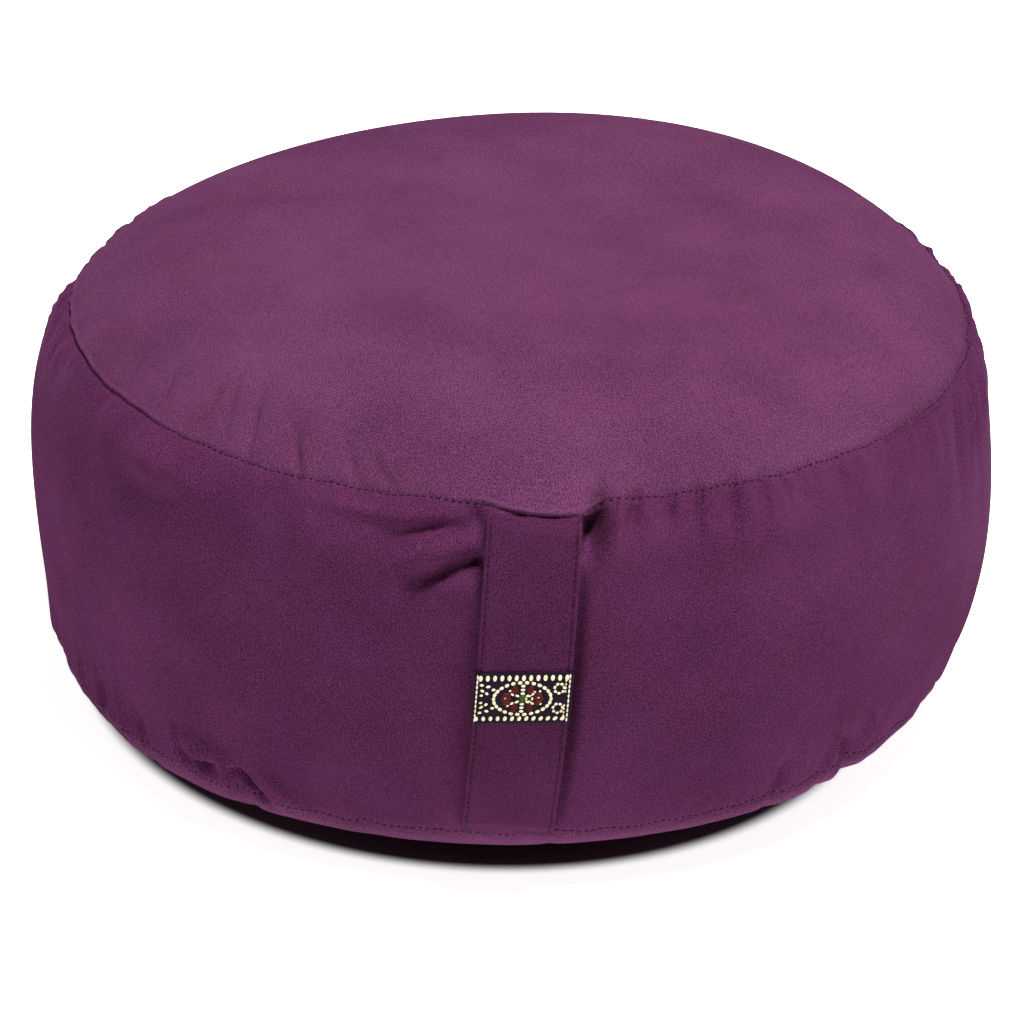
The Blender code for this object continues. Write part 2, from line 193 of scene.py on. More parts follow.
# Finer creases, only in the cover
CREASES = fold_rows(
    # The sharp crease and the hollow left of the handle
    (-3.2, 19.4, 4, 1.7, -26, 4.6),
    (-5.8, 21.6, 5, 1.2, -30, 1.4),
    (-8, 17, 9, 3.4, -18, -5.8),
    (-6.4, 27, 7, 1.8, -14, -2),
    (-3.6, 6, 4, 2.6, 70, 2.4),
    (-9.5, 9.8, 9, 1.9, -12, 2.4),
    (-17, 6.5, 14, 2, 2, -1.4),
    (-20, 15, 17, 7.5, 3, -3.8),
    (-19, 18, 9, 2.4, -20, -0.8),
    # The pocket under the pulled seam, right of the handle
    (9.7, 7.5, 8.5, 3.1, 99, 11.5),
    (9.2, 13.5, 4.5, 2.4, 96, 3.5),
    (7.6, 62, 42, 2.2, 91.7, 4),
    (27, 15, 34, 8.5, 0, -4.2),
    (-45, 12, 24, 6, 0, -4.6),
    (12.4, 6.5, 7, 1.5, 104, -2.2),
    # Small gathers under the seam, right of the handle
    (14.2, 5, 6, 1.3, 112, 2),
    (18.4, 6, 7, 1.3, 104, 2.2),
    (21.8, 7, 9, 1.4, 104, 4.2),
    (23.6, 8, 8, 1.2, 102, -0.9),
    (26.2, 7, 10, 1.4, 106, 4.2),
    (28, 7, 8, 1.2, 102, -0.9),
    (30, 6, 9, 1.4, 110, 3.6),
    (33.2, 5, 7, 1.4, 98, 1.6),
    (37, 6, 8, 1.5, 98, 1.6),
    (41.5, 6, 8, 1.5, 96, 1.2),
    # Pleats at the far right
    (62, 9, 9, 1.6, 100, 1.6),
    (67.5, 12, 12, 1.6, 106, 2.4),
    (71.5, 14, 13, 1.6, 104, -2),
    (75, 13, 13, 1.6, 104, 2.6),
    (79, 14, 13, 1.6, 102, -2),
    (83, 12, 12, 1.6, 100, 2.2),
    (87.5, 13, 12, 1.2, 98, -1.1),
    (92, 10, 10, 1.7, 96, 1.3),
    # Pleats at the far left
    (-74, 7, 9, 1.4, 62, 1.12),
    (-79, 9, 11, 1.5, 56, 1.82),
    (-83, 9, 11, 1.1, 56, -1.54),
    (-87, 10, 11, 1.5, 60, 1.96),
    (-91.5, 10, 11, 1.2, 62, -1.54),
    (-96, 8, 10, 1.6, 66, 1.96),
    # Notches and bumps that show in the outline
    (-104, 12, 34, 12, 0, 3.4),
    (109, 5, 9, 6, 0, 1.8),
    (-42, 124, 60, 8, 0, -1.8),
    (45, 124, 60, 8, 0, -1.8),
    (98, 7, 7, 3, 90, -0.95),
    (105, 0, 7, 2.6, 90, 0.6),
    (111, 4, 6, 2.6, 90, -0.2),
    (117, 1, 5, 2.2, 90, 0.3),
    (-104.5, 1, 6, 2.2, 90, 0.9),
    (-108.8, 3, 5, 2.2, 90, -0.4),
    (-113, 0, 6, 2, 90, 1.15),
    (-118, 3, 5, 2.4, 90, -0.72),
    (-124, 1, 5, 2.4, 90, 0.94),
    (-131, 3, 5, 2.6, 90, -0.58),
    # Bottom right
    (34.8, 108, 9, 2.2, 92, 2.4),
    (37.8, 109, 10, 1.7, 82, -1.9),
    (42.6, 107, 13, 1.6, 84, -2.2),
    (45.5, 110, 10, 2.4, 66, 4),
    (48.8, 105, 9, 1.7, 78, -1.9),
    (50.9, 109, 9, 1.9, 78, 2),
    (55, 111, 9, 2, 90, 1.4),
    # Bottom left
    (-39.6, 109, 7, 2, 62, -3.6),
    (-36.2, 104.5, 7, 2.2, 6, -4.2),
    (-32.2, 109, 8, 2, 108, -3.6),
    (-36, 110.5, 5, 2.6, 8, 5.5),
    (-29.4, 113, 9, 1.8, 34, 4.4),
    (-25.5, 110, 9, 2, 32, -1.2),
    (-47, 113, 9, 2.2, 70, 2.2),
    (-51.5, 111, 9, 2, 74, -1.4),
    (-56, 112, 9, 2.2, 84, 2.2),
    (-62, 108, 8, 2.2, 84, 1.8),
    # Top panel
    (-57.5, -9, 7, 1.5, 76, 1.12),
    (-50, -10, 9, 1.6, 72, 2),
    (-42, -11, 10, 1.6, 82, 2.5),
    (-39.5, -15, 12, 1.6, 60, 2),
    (-34.5, -11, 13, 1.6, 66, 3),
    (-31.8, -12, 10, 1.6, 70, -1.4),
    (-27, -7, 9, 1.6, 58, 2.4),
    (-20, -9, 10, 1.5, 52, 1.28),
    (-15.5, -6, 8, 1.5, 40, 0.96),
    (70, -7, 7, 1.6, 100, 0.96),
)

# Slow unevenness of the filling: waves around the body, each with its height along the band
Wave = namedtuple("Wave", "count phase height")
WAVES = (
    Wave(3, 40, 0.0008),
    Wave(5, 200, 0.0006),
    Wave(9, 75, 0.0004),
)


def mix(start, end, share):
    return start + (end - start) * share


def smooth(share):
    share = np.clip(share, 0.0, 1.0)
    return share * share * (3 - 2 * share)


def bell(distance, width):
    return np.exp(-((distance / width) ** 2))


def remainder(angle):
    """The angle between -pi and pi."""
    return (angle + pi) % tau - pi


def unit(vector):
    return vector / np.linalg.norm(vector, axis=-1, keepdims=True)


# Profile

NORMAL_STEP = 0.002


def crown_point(share):
    return SEAM_RADIUS * share, SEAM_HEIGHT + CROWN_RISE * (1 - share**CROWN_FLATNESS)


def band_point(share):
    swell = DIAMETER / 2 - (SEAM_RADIUS + FOOT_RADIUS) / 2
    skewed = share**BAND_SKEW
    fullness = (4 * skewed * (1 - skewed)) ** BAND_FULLNESS
    return (
        mix(SEAM_RADIUS, FOOT_RADIUS, share) + swell * fullness,
        mix(SEAM_HEIGHT, FOOT_HEIGHT, share),
    )


def underside_points(count):
    knots = [Vector((*band_point(ROLL_FRACTION), 0))]
    knots += [Vector((*handle, 0)) for handle in UNDERSIDE_HANDLES]
    knots += [Vector((BASE_RADIUS, 0, 0))]
    return [(point.x, point.y) for point in interpolate_bezier(*knots, count)]


def whole_profile():
    """Stations, radii and heights from the crown to the middle of the base, 0 at the top seam."""
    shares = [i / PROFILE_POINTS for i in range(PROFILE_POINTS)]
    top = [crown_point(share) for share in shares]
    side = [band_point(ROLL_FRACTION * share) for share in shares]
    under = underside_points(UNDERSIDE_POINTS) + [(0.0, 0.0)]
    points = np.array(top + side + under)
    steps = np.hypot(*np.diff(points, axis=0).T)
    lengths = np.concatenate([[0.0], np.cumsum(steps)])
    return lengths - lengths[PROFILE_POINTS], points[:, 0], points[:, 1]


STATIONS, RADII, HEIGHTS = whole_profile()
CROWN_STATION = STATIONS[0]
CENTRE_STATION = STATIONS[-1]
BASE_STATION = STATIONS[-2]
LOW_SEAM_HEIGHT = band_point(LOW_SEAM_FRACTION)[1]
LOW_SEAM_STATION = STATIONS[np.argmax((STATIONS > 0) & (HEIGHTS <= LOW_SEAM_HEIGHT))]
STRAP_LOW_STATION = LOW_SEAM_STATION - STRAP_LOW_MARGIN


def profile_at(station):
    return np.interp(station, STATIONS, RADII), np.interp(station, STATIONS, HEIGHTS)


def profile_normal(station):
    low = profile_at(np.maximum(station - NORMAL_STEP, CROWN_STATION))
    high = profile_at(np.minimum(station + NORMAL_STEP, CENTRE_STATION))
    along = np.array([high[0] - low[0], high[1] - low[1]])
    along = along / np.hypot(along[0], along[1])
    return -along[1], along[0]


# Surface of the cover


def fold_height(azimuth, station, folds):
    total = 0.0
    for fold in folds:
        across = remainder(azimuth - radians(fold.azimuth)) * DIAMETER / 2 / MM
        down = station / MM - fold.station
        slant = radians(fold.slant)
        along = across * cos(slant) + down * sin(slant)
        aside = down * cos(slant) - across * sin(slant)
        total = total + fold.depth * MM * bell(along, fold.length) * bell(aside, fold.width)
    return total


def band_share(station):
    """0 at both seams and off the band, 1 half way down it."""
    return np.sin(pi * np.clip(station / LOW_SEAM_STATION, 0.0, 1.0))


def wave_height(azimuth, station):
    total = sum(
        wave.height * np.sin(wave.count * azimuth + radians(wave.phase)) for wave in WAVES
    )
    return band_share(station) * total


# Waves of the seams' wander round the body: count, phase in radians and share
WANDERS = ((23, 1.0, 1.0), (61, 2.2, 0.7))


def seam_wander(azimuth):
    """The seams don't run quite true: how far the stitches stray along the cloth."""
    total = sum(share * np.sin(count * azimuth + phase) for count, phase, share in WANDERS)
    return STITCH_WANDER * total


# The seam's rounded edge lies on the top panel at the left and at the handle, on the side at the
# right, and fades at the back. Angles are in radians from the front.
EDGE_LEFT = 0.6
EDGE_LEFT_FADE = 0.5
EDGE_RIGHT = 0.7
EDGE_RIGHT_FADE = 0.3
EDGE_STRAP_WIDTH = 0.11
EDGE_BACK_FADE = 0.5


def seam_height(azimuth, station):
    here = station - seam_wander(azimuth)
    low = here - LOW_SEAM_STATION
    left = smooth((-azimuth - EDGE_LEFT) / EDGE_LEFT_FADE)
    right = smooth((azimuth - EDGE_RIGHT) / EDGE_RIGHT_FADE)
    at_strap = smooth(bell(remainder(azimuth - STRAP_AZIMUTH), EDGE_STRAP_WIDTH) * 2)
    edge = np.maximum(left, at_strap) * bell(here + SEAM_EDGE_WIDTH, SEAM_EDGE_WIDTH)
    edge = edge + right * bell(here - SEAM_EDGE_WIDTH, SEAM_EDGE_WIDTH)
    edge = SEAM_EDGE * edge * smooth((pi - np.abs(remainder(azimuth))) / EDGE_BACK_FADE)
    ditch = SEAM_DITCH * (bell(here, SEAM_DITCH_WIDTH) + bell(low, SEAM_DITCH_WIDTH))
    crease = SEAM_CREASE * (bell(here, SEAM_CREASE_WIDTH) + bell(low, SEAM_CREASE_WIDTH))
    return edge - ditch - crease


# Gathers drawn in by the stitches: shortest and longest ripple round the body, its height, how far
# down from the seam it is highest, and its spread, in metres
Pucker = namedtuple("Pucker", "shortest longest height place spread")
TOP_FINE = Pucker(0.006, 0.013, 0.00045, 0.0035, 0.0045)
TOP_BROAD = Pucker(0.014, 0.034, 0.00085, 0.007, 0.008)
LOW_FINE = Pucker(0.006, 0.014, 0.00035, -0.003, 0.006)
LOW_BROAD = Pucker(0.014, 0.036, 0.0007, -0.006, 0.011)
PANEL_PUCKER_SHARE = 0.45
PUCKER_SEED = 7
PUCKER_WAVES = 26
PUCKER_PEAK = 1.6


def ripples(azimuth, pucker, seed):
    """Uneven ripples round the body, roughly from -1 to 1."""
    draw = np.random.default_rng(seed)
    total = 0.0
    for _ in range(PUCKER_WAVES):
        length = draw.uniform(pucker.shortest, pucker.longest)
        count = round(pi * DIAMETER / length)
        total = total + np.sin(count * azimuth + draw.uniform(0, tau))
    return total / sqrt(PUCKER_WAVES / 2) / PUCKER_PEAK


def pucker_height(azimuth, station):
    """Small gathers that the stitches draw into the cloth on both sides of each seam."""
    low = station - LOW_SEAM_STATION
    side = bell(station - TOP_FINE.place, TOP_FINE.spread) * (station > 0)
    panel = bell(station, TOP_FINE.spread) * (station <= 0) * PANEL_PUCKER_SHARE
    gathers = (
        (TOP_FINE, side + panel),
        (TOP_BROAD, bell(station - TOP_BROAD.place, TOP_BROAD.spread)),
        (LOW_FINE, bell(low - LOW_FINE.place, LOW_FINE.spread)),
        (LOW_BROAD, bell(low - LOW_BROAD.place, LOW_BROAD.spread)),
    )
    total = 0.0
    for index, (pucker, reach) in enumerate(gathers):
        total = total + pucker.height * ripples(azimuth, pucker, PUCKER_SEED + index) * reach
    return total


def lip_pull(azimuth, station):
    """(outward, down) of the top seam's edge where the handle pulls on it."""
    half = STRAP_WIDTH / 2 / SEAM_RADIUS
    place = remainder(azimuth - STRAP_AZIMUTH)
    rise = smooth((place + half + LIP_START) / LIP_START)
    fall = np.clip((half + LIP_RETURN - place) / LIP_RETURN, 0.0, 1.0)
    share = np.clip((place + half) / (2 * half), 0.0, 1.0)
    across = mix(LIP_PULL_LEFT, LIP_PULL_RIGHT, share * (2 - share))
    depth = np.where(station < 0, bell(station, LIP_DEPTH), 1 - smooth(station / LIP_UNDERSIDE))
    pull = across * rise * fall * depth
    return pull, pull / LIP_PULL_RIGHT * LIP_DROP


def tilt(azimuth, right, front):
    return right * np.sin(azimuth) + front * np.cos(azimuth)


def seam_rise(azimuth):
    level = tilt(azimuth, SEAM_TILT_RIGHT, SEAM_TILT_FRONT)
    saddle = tilt(2 * azimuth, SEAM_SADDLE_SLANT, SEAM_SADDLE)
    return level + saddle + SEAM_THIRD_WAVE * np.sin(3 * azimuth)


def filling_rise(azimuth, radius, height, station):
    """How much the uneven filling lifts the cloth."""
    out = np.clip(radius / SEAM_RADIUS, 0.0, 1.0)
    down = np.clip((SEAM_HEIGHT - height) / (SEAM_HEIGHT - FOOT_HEIGHT), 0.0, 1.0)
    rise = (1 - down) * out * seam_rise(azimuth)
    crown = (1 - out**CROWN_FLATNESS) * out * tilt(azimuth, CROWN_TILT_RIGHT, CROWN_TILT_FRONT)
    settled = smooth((BASE_STATION - station) / (BASE_STATION - LOW_SEAM_STATION))
    foot = down**2 * settled * FOOT_TILT_RIGHT * np.sin(azimuth)
    return rise + np.where(station < 0, crown, foot)


def cover_points(azimuth, station, lift=0.0):
    """Points of the cover where azimuths and stations meet, lifted off it by lift."""
    azimuth, station = np.broadcast_arrays(np.asarray(azimuth, float), np.asarray(station, float))
    radius, height = profile_at(station)
    out, up = profile_normal(station)
    bump = seam_height(azimuth, station) + wave_height(azimuth, station)
    bump = bump + pucker_height(azimuth, station)
    for folds in (FOLDS, CREASES):
        bump = bump - fold_height(azimuth, station, folds)
    bump = bump * smooth((BASE_STATION - station) / BASE_CALM)
    bump = bump * smooth((station - CROWN_STATION) / CENTRE_CALM) + lift
    pull, drop = lip_pull(azimuth, station)
    sway = BAND_SWAY * band_share(station) * (station / LOW_SEAM_STATION - BAND_SWAY_START)
    reach = radius + out * bump + pull + sway * np.sin(azimuth)
    z = height + up * bump - drop + filling_rise(azimuth, radius, height, station)
    flat = station >= BASE_STATION
    reach = np.where(flat, radius, reach)
    z = np.where(flat, 0.0, z)
    points = np.stack([np.sin(azimuth) * reach, -np.cos(azimuth) * reach, z], axis=-1)
    return points + np.array(BODY_SHIFT)


# Rings of the cover's mesh stop this far from the middle of the two round panels
TIP_GAP = 0.002


def cover_rows():
    """Stations of the rings: each span's start and step, close together at the seams."""
    low = LOW_SEAM_STATION
    spans = (
        (CROWN_STATION + TIP_GAP, 0.0066),
        (-0.034, 0.0019),
        (-0.009, 0.0008),
        (-0.003, 0.00033),
        (0.003, 0.0008),
        (0.012, 0.0015),
        (0.034, 0.0030),
        (low - 0.026, 0.0016),
        (low - 0.012, 0.0011),
        (low - 0.003, 0.00036),
        (low + 0.003, 0.0036),
        (BASE_STATION, 0.030),
    )
    last = CENTRE_STATION - TIP_GAP
    ends = [start for start, _ in spans[1:]] + [last]
    rows = []
    for (start, step), end in zip(spans, ends):
        count = max(1, round(abs(end - start) / step))
        rows += [mix(start, end, i / count) for i in range(count)]
    return np.array(rows + [last])


# Objects


def new_mesh(name, vertices, faces):
    mesh = bpy.data.meshes.new(name)
    mesh.from_pydata(np.reshape(vertices, (-1, 3)).tolist(), [], faces)
    return mesh


def new_object(name, data):
    obj = bpy.data.objects.new(name, data)
    scene.collection.objects.link(obj)
    return obj


def add_piece(mesh, *materials):
    """The mesh's object, under the mesh's name."""
    for material in materials:
        mesh.materials.append(material)
    mesh.shade_smooth()
    return new_object(mesh.name, mesh)


def grid_faces(rows, columns, closed):
    """Quads of a grid of points whose columns are closed round if asked."""
    last = columns if closed else columns - 1
    row = np.arange(rows - 1)[:, None] * columns
    column = np.arange(last)[None, :]
    after = (column + 1) % columns
    ring = row + columns
    quads = np.stack([row + column, ring + column, ring + after, row + after], axis=-1)
    return quads.reshape(-1, 4).tolist()


def corner_vertices(mesh):
    corners = np.empty(len(mesh.loops), np.int32)
    mesh.loops.foreach_get("vertex_index", corners)
    return corners


def set_weave(mesh, across, along):
    """Weave coordinates in millimetres, from each face corner's two places in metres."""
    uv = np.stack([across, along], axis=-1) / MM
    layer = mesh.uv_layers.new(name="weave")
    layer.data.foreach_set("uv", np.asarray(uv, np.float32).reshape(-1))


def weave_cover(mesh, rows, azimuths):
    """The weave runs straight across the round panels and round the side, each panel cut flat.

    Gives back which faces belong to the side.
    """
    stations = np.concatenate([np.repeat(rows, COLUMNS), [CROWN_STATION, CENTRE_STATION]])
    turns = np.concatenate([np.tile(azimuths, len(rows)), [0.0, 0.0]])
    corners = corner_vertices(mesh)
    sizes = np.array([polygon.loop_total for polygon in mesh.polygons])
    face_of = np.repeat(np.arange(len(sizes)), sizes)
    station = stations[corners]
    azimuth = turns[corners]
    face_station = np.bincount(face_of, station) / sizes
    face_azimuth = np.bincount(face_of, azimuth) / sizes
    middle = face_station[face_of]
    wraps = (np.abs(azimuth - face_azimuth[face_of]) > 1.0) & (azimuth < 0)
    turn = azimuth + np.where(wraps, tau, 0.0)
    from_top = station - CROWN_STATION
    from_base = CENTRE_STATION - station
    across = np.where(middle < 0, np.sin(azimuth) * from_top, turn * DIAMETER / 2)
    along = np.where(middle < 0, -np.cos(azimuth) * from_top, -station)
    under = middle > LOW_SEAM_STATION
    across = np.where(under, np.sin(azimuth) * from_base, across)
    along = np.where(under, np.cos(azimuth) * from_base, along)
    set_weave(mesh, across, along)
    return (face_station > 0) & (face_station < LOW_SEAM_STATION)


def make_cover(round_cloth, side_cloth):
    rows = cover_rows()
    turns = np.arange(COLUMNS) / COLUMNS * tau - pi
    azimuths = turns - FRONT_DENSITY * np.sin(turns)
    points = cover_points(azimuths[None, :], rows[:, None])
    tips = [points[0].mean(axis=0), points[-1].mean(axis=0)]
    vertices = np.concatenate([points.reshape(-1, 3), tips])
    count = len(rows) * COLUMNS
    last = count - COLUMNS
    ring = np.arange(COLUMNS)
    after = (ring + 1) % COLUMNS
    top_fan = np.stack([np.full(COLUMNS, count), ring, after], axis=-1)
    base_fan = np.stack([np.full(COLUMNS, count + 1), last + after, last + ring], axis=-1)
    faces = grid_faces(len(rows), COLUMNS, True) + top_fan.tolist() + base_fan.tolist()
    mesh = new_mesh("cushion_cover", vertices, faces)
    beside = weave_cover(mesh, rows, azimuths)
    piece = add_piece(mesh, round_cloth, side_cloth)
    mesh.polygons.foreach_set("material_index", beside.astype(np.int32))
    return piece


# Stitches

STITCH_RINGS = (0.35, 0.75, 1.0)
STITCH_TAPER = 0.45
STITCH_SIDES = 6
STITCH_LIFT = 0.00005
STITCH_REACH = 0.003
STRAP_STITCH_THICKNESS = STITCH_THICKNESS * 0.8


def stitch_rings(thickness):
    """(along, radius) pairs of one stitch, rounded at both ends."""
    half = STITCH_LENGTH / 2
    near = [
        (-half * (1 - STITCH_TAPER * share), thickness / 2 * sin(pi / 2 * share))
        for share in STITCH_RINGS
    ]
    far = [(-along, radius) for along, radius in reversed(near)]
    return [(-half, 0.0)] + near + far + [(half, 0.0)]


def make_stitches(name, frames, thickness, material):
    """Stitches at frames of (place, along, up), each a small rounded float of thread."""
    sections = stitch_rings(thickness)
    rings = len(sections) - 2
    turns = [tau * k / STITCH_SIDES for k in range(STITCH_SIDES)]
    vertices, faces = [], []
    for place, along, up in frames:
        side = np.cross(up, along)
        base = len(vertices)
        for distance, radius in sections:
            centre = place + along * distance
            if radius == 0.0:
                vertices.append(centre)
                continue
            for turn in turns:
                spoke = side * cos(turn) + up * sin(turn)
                vertices.append(centre + spoke * radius)
        for r in range(rings - 1):
            for k in range(STITCH_SIDES):
                a = base + 1 + r * STITCH_SIDES + k
                b = base + 1 + r * STITCH_SIDES + (k + 1) % STITCH_SIDES
                faces.append((a, b, b + STITCH_SIDES, a + STITCH_SIDES))
        end = base + 1 + rings * STITCH_SIDES
        for k in range(STITCH_SIDES):
            after = (k + 1) % STITCH_SIDES
            faces.append((base, base + 1 + after, base + 1 + k))
            faces.append((end, end - STITCH_SIDES + k, end - STITCH_SIDES + after))
    return add_piece(new_mesh(name, vertices, faces), material)


def seam_frames(station, strap_gap=0.0):
    """Places of the stitches along a seam, with their way along it and out of the cloth.

    None are nearer to the handle's middle than strap_gap, in radians.
    """
    count = round(pi * 2 * float(profile_at(station)[0]) / STITCH_PITCH)
    azimuth = (np.arange(count) + 0.5) / count * tau - pi
    azimuth = azimuth[np.abs(remainder(azimuth - STRAP_AZIMUTH)) >= strap_gap]
    here = station + seam_wander(azimuth)
    step = STITCH_PITCH / 2 / (DIAMETER / 2)
    place = cover_points(azimuth, here, STITCH_LIFT)
    along = unit(cover_points(azimuth + step, here) - cover_points(azimuth - step, here))
    below = cover_points(azimuth, here + STITCH_REACH)
    above = cover_points(azimuth, here - STITCH_REACH)
    up = unit(np.cross(unit(below - above), along))
    away = np.stack([np.sin(azimuth), -np.cos(azimuth), azimuth * 0], axis=-1)
    up = up * np.sign((up * away).sum(axis=-1, keepdims=True))
    along = unit(along - up * (along * up).sum(axis=-1, keepdims=True))
    return list(zip(place, along, up))


# Handle

STRAP_AWAY = np.array([sin(STRAP_AZIMUTH), -cos(STRAP_AZIMUTH), 0.0])
STRAP_SIDE = np.array([cos(STRAP_AZIMUTH), sin(STRAP_AZIMUTH), 0.0])
UPWARD = np.array([0.0, 0.0, 1.0])


def strap_frame(station):
    """Middle, across and facing of the handle at stations, as arrays."""
    station = np.asarray(station, float)
    length = STRAP_LOW_STATION - STRAP_TOP_STATION
    share = np.clip((station - STRAP_TOP_STATION) / length, 0.0, 1.0)
    radius, height = profile_at(station)
    out, up = profile_normal(station)
    gap = mix(STRAP_TOP_GAP, STRAP_LOW_GAP, share)
    gap = gap + STRAP_STAND_OFF * np.sin(pi * share) ** STRAP_FULLNESS
    free = smooth((station - STRAP_SEWN_STATION) / STRAP_SEWN_LENGTH)
    free = free * smooth((LOW_SEAM_STATION - station) / STRAP_SEWN_LENGTH)
    gap = mix(STRAP_SEWN_GAP, gap, free)
    rise = filling_rise(STRAP_AZIMUTH, radius, height, station)
    middle = STRAP_AWAY * (radius + out * gap)[..., None]
    middle = middle + UPWARD * (height + up * gap + rise)[..., None]
    middle = middle + STRAP_SIDE * (STRAP_SLIDE - STRAP_LEAN * station)[..., None]
    facing = unit(STRAP_AWAY * out[..., None] + UPWARD * up[..., None])
    turned = smooth((station - STRAP_TOP_STATION) / STRAP_TWIST_LENGTH)
    twist = mix(STRAP_TWIST, STRAP_LOW_TWIST, turned)
    cosine, sine = np.cos(twist)[..., None], np.sin(twist)[..., None]
    across = STRAP_SIDE * cosine + facing * sine
    return middle + np.array(BODY_SHIFT), across, facing * cosine - STRAP_SIDE * sine


# Section of the handle: flat faces, a groove along each edge's stitching with a low rise on both
# sides of it, and round edges. A rise has its height, its distance inward and its width.
STRAP_ROWS = 150
STRAP_FACE_POINTS = 24
STRAP_EDGE_STITCH = 0.0013
STRAP_FACE_SINK = 0.00012
STRAP_EDGE_SINK = 0.00015
STRAP_EDGE_ROUND = 0.0006
STRAP_EDGE_START = 0.0007
STRAP_EDGE_TURNS = np.radians([60, 30])
GROOVE_DEPTH = 0.00028
GROOVE_WIDTH = 0.00040
GROOVE_POINTS = (-0.0003, 0.0, 0.0003)
RISES = ((0.00010, 0.0014, 0.0010), (0.00006, -0.0007, 0.0004))


def strap_section():
    """(across, out) points round the folded handle."""
    half, thick = STRAP_WIDTH / 2, STRAP_THICKNESS / 2
    groove = half - STRAP_EDGE_STITCH
    across = [groove * 0.96 * share for share in np.linspace(0.0, 1.0, STRAP_FACE_POINTS)]
    across += [groove + offset for offset in GROOVE_POINTS] + [half - STRAP_EDGE_START]
    front = []
    for x in across:
        dip = GROOVE_DEPTH * bell(x - groove, GROOVE_WIDTH)
        rise = sum(high * bell(x - groove + inward, width) for high, inward, width in RISES)
        front.append((x, thick - STRAP_FACE_SINK - dip + rise))
    middle = half - STRAP_EDGE_ROUND
    high = thick - STRAP_EDGE_SINK
    edge = [
        (middle + STRAP_EDGE_ROUND * cos(turn), high * sin(turn))
        for turn in STRAP_EDGE_TURNS
    ]
    right = front + edge
    upper = [(-x, y) for x, y in reversed(right[1:])] + right
    lower = [(x, -y) for x, y in reversed(upper)]
    return upper + [(half, 0.0)] + lower + [(-half, 0.0)]


def under_lip(station, across):
    """The handle's top end follows the pulled seam, close under it."""
    azimuth = STRAP_AZIMUTH + across / SEAM_RADIUS
    pull, drop = lip_pull(azimuth, 0.0)
    near = 1 - smooth((station - STRAP_LIP_STATION) / STRAP_UNDER_LIP_LENGTH)
    out = pull * near * STRAP_UNDER_LIP
    return STRAP_AWAY * out[..., None] - UPWARD * (drop * near)[..., None]


# The handle's slow ripple and turn between its two rows of stitches, and its puckers at them
RIPPLE_HEIGHT = 0.00018
RIPPLE_LENGTH = 0.0085
RIPPLE_SLANT = 2.4
TURN_HEIGHT = 0.00022
TURN_LENGTH = 0.021
TURN_PHASE = 0.7
EDGE_PUCKER = 0.00005
EDGE_PUCKER_START = 0.8
EDGE_PUCKER_FADE = 0.1


def strap_unevenness(station, across):
    """The handle's cloth isn't quite flat."""
    wide = across / (STRAP_WIDTH / 2)
    ripple = RIPPLE_HEIGHT * np.sin(station / RIPPLE_LENGTH + RIPPLE_SLANT * wide) * (1 - wide**2)
    turn = TURN_HEIGHT * np.sin(station / TURN_LENGTH + TURN_PHASE) * wide
    near_edge = smooth((np.abs(wide) - EDGE_PUCKER_START) / EDGE_PUCKER_FADE)
    return ripple + turn + EDGE_PUCKER * np.sin(station / STITCH_PITCH * tau) * near_edge


def strap_points(stations, section):
    middle, across, facing = strap_frame(stations)
    wide = section[None, :, 0]
    sag = strap_unevenness(stations[:, None], wide)
    points = middle[:, None] + across[:, None] * section[None, :, :1]
    points = points + facing[:, None] * (section[None, :, 1:] + sag[..., None])
    return points + under_lip(stations[:, None], wide)


def end_faces(base, columns):
    """Faces that close an end of the handle between the section's upper and lower half."""
    half = (columns - 2) // 2
    faces = []
    for k in range(half - 1):
        lower = columns - 2 - k
        faces.append([base + k, base + k + 1, base + lower - 1, base + lower])
    faces.append([base + half - 1, base + half, base + half + 1])
    faces.append([base, base + columns - 2, base + columns - 1])
    return faces


def make_strap(material):
    section = np.array(strap_section())
    columns = len(section)
    stations = np.linspace(STRAP_SEWN_STATION, LOW_SEAM_STATION, STRAP_ROWS)
    points = strap_points(stations, section)
    low_end = end_faces((STRAP_ROWS - 1) * columns, columns)
    faces = grid_faces(STRAP_ROWS, columns, True)
    faces += end_faces(0, columns) + [face[::-1] for face in low_end]
    mesh = new_mesh("strap_cloth", points, faces)
    outside = bmesh.new()
    outside.from_mesh(mesh)
    bmesh.ops.recalc_face_normals(outside, faces=outside.faces)
    outside.to_mesh(mesh)
    outside.free()
    corners = corner_vertices(mesh)
    across = np.tile(section[:, 0], STRAP_ROWS)[corners]
    set_weave(mesh, across, np.repeat(-stations, columns)[corners])
    return add_piece(mesh, material)


STRAP_STITCH_START = 0.002
# Sign of each row's side, and where in its pitch the row starts
STRAP_STITCH_ROWS = ((-1, 0.2), (1, 0.5))


def strap_stitch_frames():
    """Both rows of edge stitches on the handle's front."""
    frames = []
    top = STRAP_SEWN_STATION + STRAP_STITCH_START
    count = round((STRAP_LOW_STATION - top) / STITCH_PITCH)
    for sign, start in STRAP_STITCH_ROWS:
        offset = sign * (STRAP_WIDTH / 2 - STRAP_EDGE_STITCH)
        stations = top + (np.arange(count) + start) * STITCH_PITCH
        middle, across, facing = strap_frame(stations)
        after, _, _ = strap_frame(stations + MM)
        along = unit(after - middle)
        lift = STRAP_THICKNESS / 2 - GROOVE_DEPTH + strap_unevenness(stations, offset)
        place = middle + across * offset + facing * lift[:, None]
        place = place + under_lip(stations, np.full(count, offset))
        frames += list(zip(place, along, facing))
    return frames


# Ribbon

RIBBON_ROWS = 36
RIBBON_FRONT_POINTS = 16
RIBBON_CORNER_CUT = 0.00012


